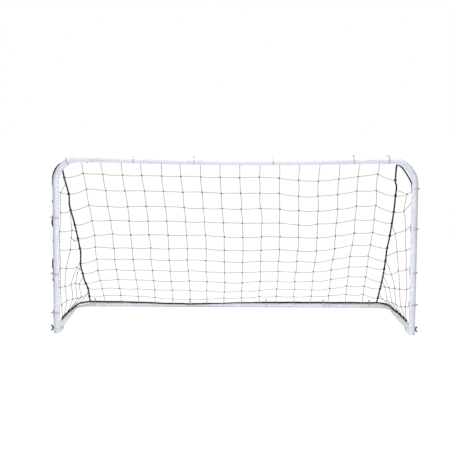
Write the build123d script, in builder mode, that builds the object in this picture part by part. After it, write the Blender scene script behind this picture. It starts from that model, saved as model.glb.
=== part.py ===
from build123d import *
import math
import os

# Portable goal: a round-tube front hoop, a U-shaped base frame that folds up
# on two wing bolts, and a net held by snap-on clips and a border rope.
# +X runs along the crossbar, +Y from the goal mouth to the back, +Z is up.
# The origin is on the floor, under the middle of the goal's outline.

os.makedirs("parts", exist_ok=True)

SIDES = (("left", -1), ("right", 1))     # name, sign of x

# tube
TUBE_R = 16.0            # 32 mm round steel tube
WALL = 1.2
BORE_R = TUBE_R - WALL
SPIGOT_R = BORE_R - 0.1  # swaged end that plugs into the next tube
SPIGOT_BORE_R = SPIGOT_R - WALL
SPIGOT_L = 60.0

# outline
WIDTH = 1830.0           # over the two posts
HEIGHT = 897.5           # floor to the top of the crossbar
DEPTH = 622.0            # post centre line to rear bar centre line
HOOP_BEND = 118.0        # centre line radius of the top corners
BASE_BEND = 78.0         # centre line radius of the rear corners
SEAM_X = 712.0           # where the corner pieces meet the bar halves
SAG = 10.0               # the crossbar hangs this much at mid-span
SAG_FROM = 80.0          # straight and level within this of the middle joint,
SAG_TO = SEAM_X - 22.0   # and outside this
SAG_STEPS = 8

# centre lines
POST_X = WIDTH / 2 - TUBE_R
CROSSBAR_Z = HEIGHT - TUBE_R
HOOP_Y = -DEPTH / 2
REAR_Y = HOOP_Y + DEPTH
BASE_Z = TUBE_R
SOLE = 3.0               # foot cap under each post

# base hinge; places along the bolt are measured from the side bar's centre line
PIVOT_BACK = 44.0        # post centre line to pivot
PIVOT_Y = HOOP_Y + PIVOT_BACK
NOSE_R = 15.6            # rounded front end of a side bar
NOSE_L = 20.0            # pivot to the start of the plain tube
EAR_IN = 17.5            # half gap between the bracket ears
EAR_T = 2.5
EAR_R = 13.5
BRACKET_BACK = 11.0      # post centre line to the bracket's front face
FORK_BACK = 22.5         # post centre line to the bottom of the fork slot
BOLT_R = 4.0
BOLT_REACH = 34.0        # centre line to the bolt's tip
SLEEVE_R = 6.0
SLEEVE_BORE_R = 4.05     # turns on the bolt
SLEEVE_HALF_L = 16.2
NUT_BORE_R = 4.06
WASHER_R = 9.0
WASHERS = (              # start along the bolt, thickness
    (-17.4, 1.1),
    (16.3, 1.1),
    (20.05, 1.6),
)

# snap buttons
BUTTON_R = 3.5
BUTTON_HOLE_R = 3.58
BUTTON_TIP = TUBE_R + 3.0
BUTTON_BACK = 30.0       # seam to button
BUTTON_X = SEAM_X + BUTTON_BACK
HOLE_DEPTH = TUBE_R + 4  # button holes are cut from the centre line outward

# net fittings
CLIP_IN = TUBE_R + 0.25
CLIP_T = 2.0
CLIP_OUT = CLIP_IN + CLIP_T
CLIP_W = 8.0
ROPE_R = 4.2
ROPE_REACH = 22.7        # tube centre line to rope centre line
HOOK_IN = ROPE_R + 0.6
NET_T = 1.0


def polar(radius, degrees):
    angle = math.radians(degrees)
    return radius * math.cos(angle), radius * math.sin(angle)


def across_x(x, y, z, out=1):
    """A plane square to X: drawn along +Y, facing out * X."""
    return Plane(origin=(x, y, z), x_dir=(0, 1, 0), z_dir=(out, 0, 0))


def along_x(x, y, z, facing):
    """A plane drawn along +X, facing the given direction."""
    return Plane(origin=(x, y, z), x_dir=(1, 0, 0), z_dir=facing)


def save(block, name):
    block.part.label = name
    export_step(block.part, f"parts/{name}.step")


# ---------------------------------------------------------------------------
# Tubes. The drawing helpers add to whichever sketch or line is open.
# ---------------------------------------------------------------------------
def sag(x):
    """How far the crossbar hangs below the straight line between its ends."""
    share = min(1, max(0, (abs(x) - SAG_FROM) / (SAG_TO - SAG_FROM)))
    return SAG * (1 - share * share) ** 1.2


def tube_section():
    Circle(TUBE_R)
    Circle(BORE_R, mode=Mode.SUBTRACT)


def bent_line(start, corner, end, radius):
    """Two straight runs with the square corner between them rounded."""
    start, corner, end = Vector(*start), Vector(*corner), Vector(*end)
    before = (corner - start).normalized()
    after = (end - corner).normalized()
    bend_start = corner - before * radius
    bend_end = corner + after * radius
    bend_middle = corner + (after - before) * (radius * (1 - math.sqrt(0.5)))
    Line(start, bend_start)
    ThreePointArc(bend_start, bend_middle, bend_end)
    Line(bend_end, end)


def swaged_end(tube_x, shoulder, toward):
    """Half section of a swaged end whose spigot points toward * X: x, radius."""
    tip = shoulder + toward * SPIGOT_L
    return (
        (tube_x, TUBE_R),
        (shoulder - toward * 2.2, TUBE_R),
        (shoulder - toward * 0.3, SPIGOT_R),
        (tip - toward * 1.5, SPIGOT_R),
        (tip, SPIGOT_R - 0.5),
        (tip, SPIGOT_BORE_R),
        (shoulder - toward * 1.0, SPIGOT_BORE_R),
        (shoulder - toward * 3.0, BORE_R),
        (tube_x, BORE_R),
    )


# half section of the plain end that takes the middle spigot: x, radius
SOCKET_END = (
    (0.0, BORE_R),
    (0.0, TUBE_R - 0.3),
    (0.3, TUBE_R),
    (SAG_FROM, TUBE_R),
    (SAG_FROM, BORE_R),
)


def build_upright(name, side):
    """A post, a top corner and a short leg along the crossbar."""
    x = side * POST_X
    with BuildPart() as upright:
        with BuildLine():
            bent_line(
                (x, HOOP_Y, SOLE),
                (x, HOOP_Y, CROSSBAR_Z),
                (side * SEAM_X, HOOP_Y, CROSSBAR_Z),
                HOOP_BEND,
            )
        with BuildSketch(Plane(origin=(x, HOOP_Y, SOLE))):
            tube_section()
        sweep()
        # hole for the snap button, on the underside of the leg
        with BuildSketch(along_x(side * BUTTON_X, HOOP_Y, CROSSBAR_Z, (0, 0, -1))):
            Circle(BUTTON_HOLE_R)
        extrude(amount=HOLE_DEPTH, mode=Mode.SUBTRACT)
    save(upright, f"{name}_upright")


def build_bar_half(name, side, y, z, drop, button_dir):
    """Half a bar: swaged outside; at the middle the left half plugs into the right.

    drop is the sag at the middle joint: the ends stay straight, and the run
    between them is bowed.
    """
    outer_profile = swaged_end(side * SAG_TO, side * SEAM_X, side)
    inner_profile = swaged_end(-SAG_FROM, 0, 1) if side < 0 else SOCKET_END
    ends = (-SAG_TO, -SAG_FROM) if side < 0 else (SAG_FROM, SAG_TO)
    stations = [
        ends[0] + (ends[1] - ends[0]) * k / SAG_STEPS for k in range(SAG_STEPS + 1)
    ]
    points = [(x, y, z - sag(x) if drop else z) for x in stations]

    with BuildPart() as bar_half:
        for profile, height in ((outer_profile, z), (inner_profile, z - drop)):
            with BuildSketch(along_x(0, y, height, (0, -1, 0))):
                with BuildLine():
                    Polyline(*profile, close=True)
                make_face()
            revolve(axis=Axis((0, y, height), (1, 0, 0)))
        with BuildLine():
            if drop:
                Spline(*points, tangents=[(1, 0, 0), (1, 0, 0)])
            else:
                Line(points[0], points[-1])
        with BuildSketch(across_x(*points[0])):
            tube_section()
        sweep()
        for x, height in ((side * BUTTON_X, z), (BUTTON_BACK, z - drop)):
            with BuildSketch(along_x(x, y, height, button_dir)):
                Circle(BUTTON_HOLE_R)
            extrude(amount=HOLE_DEPTH, mode=Mode.SUBTRACT)
    save(bar_half, name)


def nose_outline(radius):
    """Side view of a nose: round about the pivot, square behind it."""
    Circle(radius)
    with Locations((NOSE_L / 2, 0)):
        Rectangle(NOSE_L, 2 * TUBE_R)


def build_side_bar(name, side):
    """A base side bar: rounded closed nose at the hinge, bent rear corner."""
    x = side * POST_X
    with BuildPart() as nose_core:
        with BuildSketch(across_x(x, PIVOT_Y, BASE_Z)):
            nose_outline(NOSE_R - WALL)
        extrude(amount=TUBE_R, both=True)
        with BuildSketch(along_x(x, PIVOT_Y - 30, BASE_Z, (0, 1, 0))):
            Circle(BORE_R)
        extrude(amount=60, mode=Mode.INTERSECT)

    with BuildPart() as side_bar:
        with BuildSketch(across_x(x, PIVOT_Y, BASE_Z)):
            nose_outline(NOSE_R)
        extrude(amount=TUBE_R, both=True)
        with BuildSketch(along_x(x, PIVOT_Y - 30, BASE_Z, (0, 1, 0))):
            Circle(TUBE_R)
        extrude(amount=30 + NOSE_L, mode=Mode.INTERSECT)
        add(nose_core.part, mode=Mode.SUBTRACT)
        with BuildLine():
            bent_line(
                (x, PIVOT_Y + NOSE_L, BASE_Z),
                (x, REAR_Y, BASE_Z),
                (side * SEAM_X, REAR_Y, BASE_Z),
                BASE_BEND,
            )
        with BuildSketch(along_x(x, PIVOT_Y + NOSE_L, BASE_Z, (0, 1, 0))):
            tube_section()
        sweep()
        # cross hole for the pivot sleeve
        with BuildSketch(across_x(x - 30, PIVOT_Y, BASE_Z)):
            Circle(SLEEVE_R + 0.05)
        extrude(amount=60, mode=Mode.SUBTRACT)
        # snap button hole at the back of the leg
        with BuildSketch(along_x(side * BUTTON_X, REAR_Y, BASE_Z, (0, 1, 0))):
            Circle(BUTTON_HOLE_R)
        extrude(amount=HOLE_DEPTH, mode=Mode.SUBTRACT)
    save(side_bar, f"{name}_side_bar")


# ---------------------------------------------------------------------------
# Foot caps: plastic plugs in the open ends of the posts
# ---------------------------------------------------------------------------
PLUG_R = BORE_R - 0.1
PLUG_IN = BORE_R - 2.6
PLUG_TOP = SOLE + 22
WEB_L = 2 * (BORE_R - 2.0)
WEB_T = 1.6
WEB_H = 16.0
FOOT_CAP_PROFILE = (     # radius, z
    (0, 0),
    (TUBE_R - 1.8, 0),
    (TUBE_R - 0.5, 0.6),
    (TUBE_R, 1.9),
    (TUBE_R, SOLE),
    (PLUG_R, SOLE),
    (PLUG_R, PLUG_TOP - 3),
    (PLUG_R - 0.8, PLUG_TOP),
    (PLUG_IN, PLUG_TOP),
    (PLUG_IN, SOLE),
    (0, SOLE),
)


def build_foot_cap(name, side):
    x = side * POST_X
    with BuildPart() as foot_cap:
        with BuildSketch(along_x(x, HOOP_Y, 0, (0, -1, 0))):
            with BuildLine():
                Polyline(*FOOT_CAP_PROFILE, close=True)
            make_face()
        revolve(axis=Axis((x, HOOP_Y, 0), (0, 0, 1)))
        # two stiffening webs inside the plug
        with BuildSketch(along_x(x, HOOP_Y, SOLE, (0, 0, 1))):
            Rectangle(WEB_L, WEB_T)
            Rectangle(WEB_T, WEB_L)
        extrude(amount=WEB_H)
    save(foot_cap, f"{name}_foot_cap")


# ---------------------------------------------------------------------------
# Hinges. side is also the direction from the post to the outside of the goal.
# ---------------------------------------------------------------------------
HEAD_SEAT = EAR_IN + EAR_T + 0.05
HEAD_PROFILE = (         # along the bolt toward the outside, radius
    (-HEAD_SEAT, 0),
    (-HEAD_SEAT, 9.0),
    (-HEAD_SEAT - 1.0, 9.0),
    (-HEAD_SEAT - 2.8, 7.6),
    (-HEAD_SEAT - 4.0, 5.2),
    (-HEAD_SEAT - 4.6, 2.6),
    (-HEAD_SEAT - 4.8, 0),
)
NUT_PROFILE = (          # along the bolt, radius
    (21.7, NUT_BORE_R),
    (21.7, 7.6),
    (22.4, 8.2),
    (24.4, 8.2),
    (29.0, 6.4),
    (30.4, 5.6),
    (30.4, NUT_BORE_R + 0.4),
    (30.0, NUT_BORE_R),
)
WING_HALF_T = 1.5
WING_OUTLINE = (         # along the bolt, height above it (the other wing is mirrored)
    (23.2, 5.6),
    (25.8, 8.6),
    (31.4, 12.6),
    (36.6, 15.2),
    (39.4, 13.2),
    (38.2, 9.6),
    (34.0, 6.9),
    (30.2, 5.0),
)


def bolt_view(side):
    """A plane drawn along the bolt toward the outside, and upward."""
    return Plane(
        origin=(side * POST_X, PIVOT_Y, BASE_Z), x_dir=(side, 0, 0), z_dir=(0, -side, 0)
    )


def bolt_axis(side):
    return Axis((side * POST_X, PIVOT_Y, BASE_Z), (side, 0, 0))


def build_hinge_bracket(name, side):
    """Ears rounded about the pivot, with a saddle against the post."""
    x = side * POST_X
    body_l = PIVOT_BACK - BRACKET_BACK
    with BuildPart() as hinge_bracket:
        with BuildSketch(across_x(x, PIVOT_Y, BASE_Z)):
            Circle(EAR_R)
            with Locations((-body_l / 2, 0)):
                Rectangle(body_l, 2 * EAR_R)
        extrude(amount=EAR_IN + EAR_T, both=True)
        # folded corners along the saddle
        fillet(
            hinge_bracket.edges().filter_by(Axis.Z).group_by(Axis.Y)[0],
            radius=2.0,
        )
        # the fork slot between the ears
        with BuildSketch(along_x(x, HOOP_Y + FORK_BACK, BASE_Z - 30, (0, 0, 1))):
            with Locations((0, 30)):
                Rectangle(2 * EAR_IN, 60)
        extrude(amount=60, mode=Mode.SUBTRACT)
        # the post stands in the saddle
        with BuildSketch(Plane.XY):
            with Locations((x, HOOP_Y)):
                Circle(TUBE_R + 0.02)
        extrude(amount=60, mode=Mode.SUBTRACT)
        # round hole in the outer ear, square hole in the inner ear
        with BuildSketch(across_x(x, PIVOT_Y, BASE_Z, side)):
            Circle(BOLT_R + 0.15)
        extrude(amount=30, mode=Mode.SUBTRACT)
        with BuildSketch(across_x(x, PIVOT_Y, BASE_Z, -side)):
            Rectangle(2 * BOLT_R + 0.2, 2 * BOLT_R + 0.2)
        extrude(amount=30, mode=Mode.SUBTRACT)
    save(hinge_bracket, f"{name}_hinge_bracket")


def build_pivot_bolt(name, side):
    """Carriage bolt: domed head on the inner ear, shank through to the wing nut."""
    seat = across_x(side * (POST_X - HEAD_SEAT), PIVOT_Y, BASE_Z, side)
    with BuildPart() as pivot_bolt:
        with BuildSketch(bolt_view(side)):
            with BuildLine():
                Polyline(*HEAD_PROFILE, close=True)
            make_face()
        revolve(axis=bolt_axis(side))
        # square neck, then the round shank
        with BuildSketch(seat):
            Rectangle(2 * BOLT_R, 2 * BOLT_R)
        extrude(amount=EAR_T)
        with BuildSketch(seat):
            Circle(BOLT_R)
        extrude(amount=HEAD_SEAT + BOLT_REACH)
        chamfer(
            pivot_bolt.edges()
            .filter_by(GeomType.CIRCLE)
            .sort_by(Axis.X)[-1 if side > 0 else 0],
            length=0.8,
        )
    save(pivot_bolt, f"{name}_pivot_bolt")


def build_pivot_sleeve(name, side):
    """Crush sleeve through the side bar."""
    with BuildPart() as pivot_sleeve:
        with BuildSketch(across_x(side * POST_X - SLEEVE_HALF_L, PIVOT_Y, BASE_Z)):
            Circle(SLEEVE_R)
            Circle(SLEEVE_BORE_R, mode=Mode.SUBTRACT)
        extrude(amount=2 * SLEEVE_HALF_L)
    save(pivot_sleeve, f"{name}_pivot_sleeve")


def build_washers(name, side):
    """Thin washers either side of the bar, and one under the wing nut."""
    with BuildPart() as washers:
        for start, thickness in WASHERS:
            with BuildSketch(across_x(side * (POST_X + start), PIVOT_Y, BASE_Z, side)):
                Circle(WASHER_R)
                Circle(BOLT_R + 0.2, mode=Mode.SUBTRACT)
            extrude(amount=thickness)
    save(washers, f"{name}_pivot_washers")


def build_wing_nut(name, side):
    """Tapered barrel and two swept-back wings."""
    with BuildPart() as wing_nut:
        with BuildSketch(bolt_view(side)):
            with BuildLine():
                Polyline(*NUT_PROFILE, close=True)
            make_face()
        revolve(axis=bolt_axis(side))
        for up in (-1, 1):
            wing = [(along, up * height) for along, height in WING_OUTLINE]
            with BuildSketch(bolt_view(side)):
                with BuildLine():
                    Spline(*wing)
                    Line(wing[-1], wing[0])
                make_face()
            extrude(amount=WING_HALF_T, both=True)
    save(wing_nut, f"{name}_wing_nut")


# ---------------------------------------------------------------------------
# Snap buttons: a domed pin with a foot flange, pushed out by a folded leaf
# ---------------------------------------------------------------------------
DOWN = (0, 0, -1)
BACK = (0, 1, 0)
SNAP_BUTTONS = (         # name, tube centre at the button, direction it points
    ("left_corner", (-BUTTON_X, HOOP_Y, CROSSBAR_Z), DOWN),
    ("crossbar", (BUTTON_BACK, HOOP_Y, CROSSBAR_Z - SAG), DOWN),
    ("right_corner", (BUTTON_X, HOOP_Y, CROSSBAR_Z), DOWN),
    ("left_rear", (-BUTTON_X, REAR_Y, BASE_Z), BACK),
    ("rear_bar", (BUTTON_BACK, REAR_Y, BASE_Z), BACK),
    ("right_rear", (BUTTON_X, REAR_Y, BASE_Z), BACK),
)
BUTTON_PROFILE = (       # radius, distance from the tube's centre line
    (0, 11.3),
    (4.6, 11.3),
    (4.6, 12.4),
    (BUTTON_R, 12.4),
    (BUTTON_R, BUTTON_TIP - 1.4),
    (BUTTON_R - 0.5, BUTTON_TIP - 0.6),
    (BUTTON_R - 1.5, BUTTON_TIP - 0.1),
    (0, BUTTON_TIP),
)
LEAF_HALF_W = 3.2
LEAF_PROFILE = (         # along the tube, distance from its centre line toward the button
    (-5.0, 11.2), (8.0, 11.2), (24.0, 5.0), (40.0, -1.5),
    (43.0, -4.5), (42.0, -7.5), (38.0, -9.3), (4.0, -12.6),
    (4.0, -11.8), (38.0, -8.5), (41.2, -7.0), (42.1, -4.7),
    (39.6, -2.2), (23.7, 4.3), (7.9, 10.4), (-5.0, 10.4),
)


def build_snap_button(name, centre, direction):
    # the leaf lies along the tube, away from the spigot's open end
    inward = Vector(1 if centre[0] < 0 else -1, 0, 0)
    side_view = Plane(
        origin=centre, x_dir=inward, z_dir=inward.cross(Vector(*direction))
    )
    with BuildPart() as button:
        with BuildSketch(side_view):
            with BuildLine():
                Polyline(*BUTTON_PROFILE, close=True)
            make_face()
        revolve(axis=Axis(centre, direction))
    save(button, f"{name}_snap_button")

    with BuildPart() as leaf:
        with BuildSketch(side_view):
            with BuildLine():
                Polyline(*LEAF_PROFILE, close=True)
            make_face()
        extrude(amount=LEAF_HALF_W, both=True)
    save(leaf, f"{name}_leaf_spring")


# ---------------------------------------------------------------------------
# Net clips: a C that snaps over the tube, a hook for the border rope and a
# finger tab to pull it off with. Angles are in the clip's own plane.
# ---------------------------------------------------------------------------
CROSSBAR_CLIPS = (       # x, tab angle, tab length, lip length
    (-509, 96, 5, 2),
    (-208, 88, 9, 3),
    (186, 92, 5, 2),
    (590, 86, 12, 3),
    (766, 90, 8, 18),
)
CROSSBAR_CLIP = dict(hook=-20, gap=275, half_gap=45, hook_open=-60)
BEND_CLIP_X = -838       # the outermost left clip sits on the bend
LEFT_POST_CLIPS = ((588, 12), (303, 12), (104, 12))              # z, tab length
RIGHT_POST_CLIPS = ((742, 6), (538, 5), (317, 4), (152, 10))     # z, tab length
REAR_CLIPS = (-795, -247, 190, 521, 785)                         # x


def clip_profile(hook, tab, gap, half_gap, tab_length, hook_open):
    """Drawn into the open sketch about the tube's centre line.

    hook, tab and gap are the directions of the hook, the tab and the mouth of
    the C; hook_open is the direction in which the hook itself opens.
    """
    hook_centre = polar(ROPE_REACH, hook)
    Circle(CLIP_OUT)
    with Locations(hook_centre):
        Circle(HOOK_IN + CLIP_T)
    with Locations(Location(polar(CLIP_OUT + tab_length / 2 - 0.6, tab), tab)):
        SlotOverall(tab_length + 1.2, CLIP_T)
    # mouth of the C
    reach = 2.2 * CLIP_OUT
    Polygon(
        (0, 0),
        polar(reach, gap - half_gap),
        polar(reach, gap),
        polar(reach, gap + half_gap),
        align=None,
        mode=Mode.SUBTRACT,
    )
    Circle(CLIP_IN, mode=Mode.SUBTRACT)
    with Locations(hook_centre):
        Circle(HOOK_IN, mode=Mode.SUBTRACT)
        Polygon(
            (0, 0),
            polar(12, hook_open - 38),
            polar(12, hook_open + 38),
            align=None,
            mode=Mode.SUBTRACT,
        )


def build_crossbar_net_clips():
    with BuildPart() as clips:
        for x, tab, tab_length, lip in CROSSBAR_CLIPS:
            z = CROSSBAR_Z - sag(x)
            with BuildSketch(across_x(x - CLIP_W / 2, HOOP_Y, z)):
                clip_profile(tab=tab, tab_length=tab_length, **CROSSBAR_CLIP)
            extrude(amount=CLIP_W)
            # lip along the top of the tab
            with BuildSketch(across_x(x - CLIP_W / 2 - lip, HOOP_Y, z)):
                with Locations(Location(polar(CLIP_OUT + tab_length - 1.4, tab), tab)):
                    Rectangle(2.4, CLIP_T)
            extrude(amount=lip + CLIP_W)
        # the clip on the bend is square to the tube there
        turn = math.asin((-BEND_CLIP_X - (POST_X - HOOP_BEND)) / HOOP_BEND)
        along = Vector(math.cos(turn), 0, math.sin(turn))
        bend_z = CROSSBAR_Z - HOOP_BEND + HOOP_BEND * math.cos(turn)
        start = Vector(BEND_CLIP_X, HOOP_Y, bend_z) - along * (CLIP_W / 2)
        with BuildSketch(Plane(origin=start, x_dir=(0, 1, 0), z_dir=along)):
            clip_profile(tab=90, tab_length=5, **CROSSBAR_CLIP)
        extrude(amount=CLIP_W)
    save(clips, "crossbar_net_clips")


def build_post_net_clips(name, side, stations, **angles):
    with BuildPart() as clips:
        for z, tab_length in stations:
            with BuildSketch(along_x(side * POST_X, HOOP_Y, z - CLIP_W / 2, (0, 0, 1))):
                clip_profile(tab_length=tab_length, **angles)
            extrude(amount=CLIP_W)
    save(clips, f"{name}_post_net_clips")


def rear_rope_tilt(x):
    """The rope's angle above level, seen from the rear bar's centre line."""
    return 45 - 30 * math.exp(-(((x + 260) / 300) ** 2))


def build_rear_bar_net_clips():
    with BuildPart() as clips:
        for x in REAR_CLIPS:
            with BuildSketch(across_x(x - CLIP_W / 2, REAR_Y, BASE_Z)):
                clip_profile(
                    hook=180 - rear_rope_tilt(x),
                    tab=88,
                    gap=270,
                    half_gap=62,
                    tab_length=13,
                    hook_open=175,
                )
            extrude(amount=CLIP_W)
    save(clips, "rear_bar_net_clips")


# ---------------------------------------------------------------------------
# Border ropes
# ---------------------------------------------------------------------------
# lengths of the hoop's runs, along the tube's centre line from the floor
POST_RUN = CROSSBAR_Z - HOOP_BEND
HOOP_TURN = HOOP_BEND * math.pi / 2
CROSSBAR_START = POST_RUN + HOOP_TURN
CROSSBAR_END = CROSSBAR_START + 2 * (POST_X - HOOP_BEND)
HOOP_RUN = CROSSBAR_START + CROSSBAR_END
MOUTH_ROPE_END = 60.0    # rope end above the floor

# the same for the base frame, from the posts
SIDE_RUN = DEPTH - BASE_BEND
BASE_TURN = BASE_BEND * math.pi / 2
REAR_START = SIDE_RUN + BASE_TURN
REAR_END = REAR_START + 2 * (POST_X - BASE_BEND)
BASE_RUN = REAR_START + REAR_END
GROUND_ROPE_END = 92.0   # rope end behind the post


def hoop_rope_point(along):
    """A point on the rope behind the hoop, by distance from the left post's foot."""
    bend_x = POST_X - HOOP_BEND
    # the tube's centre (x, z), the outward direction there, and the rope's angle
    # outward from straight back: outside the left post, under the crossbar and
    # inside the right post
    if along < POST_RUN:
        centre, outward, tilt = (-POST_X, along), (-1, 0), 50
    elif along < CROSSBAR_START:
        angle = (along - POST_RUN) / HOOP_BEND
        outward = (-math.cos(angle), math.sin(angle))
        centre = (-bend_x + HOOP_BEND * outward[0], POST_RUN + HOOP_BEND * outward[1])
        tilt = 50 - 70 * min(1, angle / (math.pi / 3.6))
    elif along < CROSSBAR_END:
        x = along - CROSSBAR_START - bend_x
        centre, outward, tilt = (x, CROSSBAR_Z - sag(x)), (0, 1), -20
    elif along < HOOP_RUN - POST_RUN:
        angle = (along - CROSSBAR_END) / HOOP_BEND
        outward = (math.sin(angle), math.cos(angle))
        centre = (bend_x + HOOP_BEND * outward[0], POST_RUN + HOOP_BEND * outward[1])
        tilt = -20 - 10 * angle / (math.pi / 2)
    else:
        centre, outward, tilt = (POST_X, HOOP_RUN - along), (1, 0), -30
    back, out = polar(ROPE_REACH, tilt)
    return (centre[0] + out * outward[0], HOOP_Y + back, centre[1] + out * outward[1])


def side_rope_tilt(back):
    """The rope lies on top of a side bar near the hinge, and inside it at the corner."""
    share = min(1, max(0, (back - 200) / (SIDE_RUN - 200)))
    return 90 - 42 * share * share * (3 - 2 * share)


def base_rope_point(along):
    """A point on the rope inside the base frame, by distance back from the left post."""
    mirror = 1 if along <= BASE_RUN / 2 else -1
    half = min(along, BASE_RUN - along)
    bend_x = POST_X - BASE_BEND
    # worked out on the left half: the tube's centre (x, distance back), the
    # inward direction there, and the rope's angle above level
    if half < SIDE_RUN:
        centre, inward, tilt = (-POST_X, half), (1, 0), side_rope_tilt(half)
    elif half < REAR_START:
        angle = (half - SIDE_RUN) / BASE_BEND
        inward = (math.cos(angle), -math.sin(angle))
        centre = (-bend_x - BASE_BEND * inward[0], SIDE_RUN - BASE_BEND * inward[1])
        tilt = side_rope_tilt(half)
        tilt += (rear_rope_tilt(-mirror * bend_x) - tilt) * angle / (math.pi / 2)
    else:
        centre, inward = (half - REAR_START - bend_x, DEPTH), (0, -1)
        tilt = rear_rope_tilt(mirror * centre[0])
    inside, above = polar(ROPE_REACH, tilt)
    return (
        mirror * (centre[0] + inside * inward[0]),
        HOOP_Y + centre[1] + inside * inward[1],
        BASE_Z + above,
    )


def rope_curve(point_at, first, last, steps, *tangents):
    Spline(
        *[point_at(first + (last - first) * k / steps) for k in range(steps + 1)],
        tangents=tangents,
    )


def draw_mouth_rope():
    right, up, down = (1, 0, 0), (0, 0, 1), (0, 0, -1)
    post_top = HOOP_RUN - POST_RUN
    Line(hoop_rope_point(MOUTH_ROPE_END), hoop_rope_point(POST_RUN))
    rope_curve(hoop_rope_point, POST_RUN, CROSSBAR_START, 4, up, right)
    rope_curve(hoop_rope_point, CROSSBAR_START, CROSSBAR_END, 20, right, right)
    rope_curve(hoop_rope_point, CROSSBAR_END, post_top, 4, right, down)
    Line(hoop_rope_point(post_top), hoop_rope_point(HOOP_RUN - MOUTH_ROPE_END))


def draw_ground_rope():
    right, back, forward = (1, 0, 0), (0, 1, 0), (0, -1, 0)
    side_start = BASE_RUN - SIDE_RUN
    side_end = BASE_RUN - GROUND_ROPE_END
    rope_curve(base_rope_point, GROUND_ROPE_END, SIDE_RUN, 10, back, back)
    rope_curve(base_rope_point, SIDE_RUN, REAR_START, 4, back, right)
    rope_curve(base_rope_point, REAR_START, REAR_END, 20, right, right)
    rope_curve(base_rope_point, REAR_END, side_start, 4, right, forward)
    rope_curve(base_rope_point, side_start, side_end, 10, forward, forward)


def build_rope(name, draw_path):
    """A rope along the path that draw_path adds to the open line."""
    with BuildPart() as rope:
        with BuildLine() as path:
            draw_path()
        with BuildSketch(Plane(origin=path.line @ 0, z_dir=path.line % 0)):
            Circle(ROPE_R)
        sweep()
    save(rope, name)


# ---------------------------------------------------------------------------
# Seam ropes, and net panels as thin sheets in the place of the knotted net
# ---------------------------------------------------------------------------
# the line a slack net takes from the crossbar to the rear bar:
# distance back from the hoop, height
DRAPE = (
    (36, 836), (66, 790), (92, 720), (116, 636), (146, 553),
    (180, 472), (226, 400), (279, 328), (334, 261), (394, 196),
    (457, 135), (524, 78), (584, 46),
)
SEAM_ROPE_TOP_X = 850.0
SEAM_ROPE_INWARD = 46.0  # how far a seam rope leans inward on its way down
BACK_NET_HALF_W = 788.0
BACK_NET_SHIFT = 0.7 * NET_T    # back and up, between the sheet's two faces
SIDE_NET_X = 866.0
SIDE_NET_FRONT = 34.0
SIDE_NET_BOTTOM = 62.0


def build_seam_rope(name, side):
    points = [
        (
            side * (SEAM_ROPE_TOP_X - SEAM_ROPE_INWARD * k / (len(DRAPE) - 1)),
            HOOP_Y + back,
            up,
        )
        for k, (back, up) in enumerate(DRAPE)
    ]
    build_rope(f"{name}_seam_rope", lambda: Spline(*points))


def build_back_net():
    shifted = [(back + BACK_NET_SHIFT, up + BACK_NET_SHIFT) for back, up in DRAPE]
    with BuildPart() as back_net:
        with BuildSketch(across_x(-BACK_NET_HALF_W, HOOP_Y, 0)):
            with BuildLine():
                Polyline(*DRAPE)
                Polyline(*shifted)
                Line(DRAPE[0], shifted[0])
                Line(DRAPE[-1], shifted[-1])
            make_face()
        extrude(amount=2 * BACK_NET_HALF_W)
    save(back_net, "back_net")


def build_side_net(name, side):
    with BuildPart() as side_net:
        with BuildSketch(across_x(side * SIDE_NET_X, HOOP_Y, 0)):
            with BuildLine():
                Polyline(
                    (SIDE_NET_FRONT, SIDE_NET_BOTTOM),
                    (SIDE_NET_FRONT, 790),
                    *[(back - 2, up - 6) for back, up in DRAPE[2:-1]],
                    (548, SIDE_NET_BOTTOM),
                    close=True,
                )
            make_face()
        extrude(amount=NET_T)
    save(side_net, f"{name}_side_net")


# ---------------------------------------------------------------------------
# Build everything
# ---------------------------------------------------------------------------
for name, side in SIDES:
    build_upright(name, side)
    build_bar_half(f"crossbar_{name}", side, HOOP_Y, CROSSBAR_Z, SAG, DOWN)
    build_bar_half(f"rear_bar_{name}", side, REAR_Y, BASE_Z, 0.0, BACK)
    build_side_bar(name, side)
    build_foot_cap(name, side)
    build_hinge_bracket(name, side)
    build_pivot_bolt(name, side)
    build_pivot_sleeve(name, side)
    build_washers(name, side)
    build_wing_nut(name, side)
    build_seam_rope(name, side)
    build_side_net(name, side)

for name, centre, direction in SNAP_BUTTONS:
    build_snap_button(name, centre, direction)

build_crossbar_net_clips()
build_post_net_clips(
    "left", -1, LEFT_POST_CLIPS, hook=140, tab=184, gap=20, half_gap=52, hook_open=100
)
build_post_net_clips(
    "right", 1, RIGHT_POST_CLIPS, hook=120, tab=-4, gap=200, half_gap=46, hook_open=160
)
build_rear_bar_net_clips()
build_rope("mouth_rope", draw_mouth_rope)
build_rope("ground_rope", draw_ground_rope)
build_back_net()
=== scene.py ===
import math
import random

import bpy
import numpy as np
from mathutils import Matrix, Vector


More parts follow.
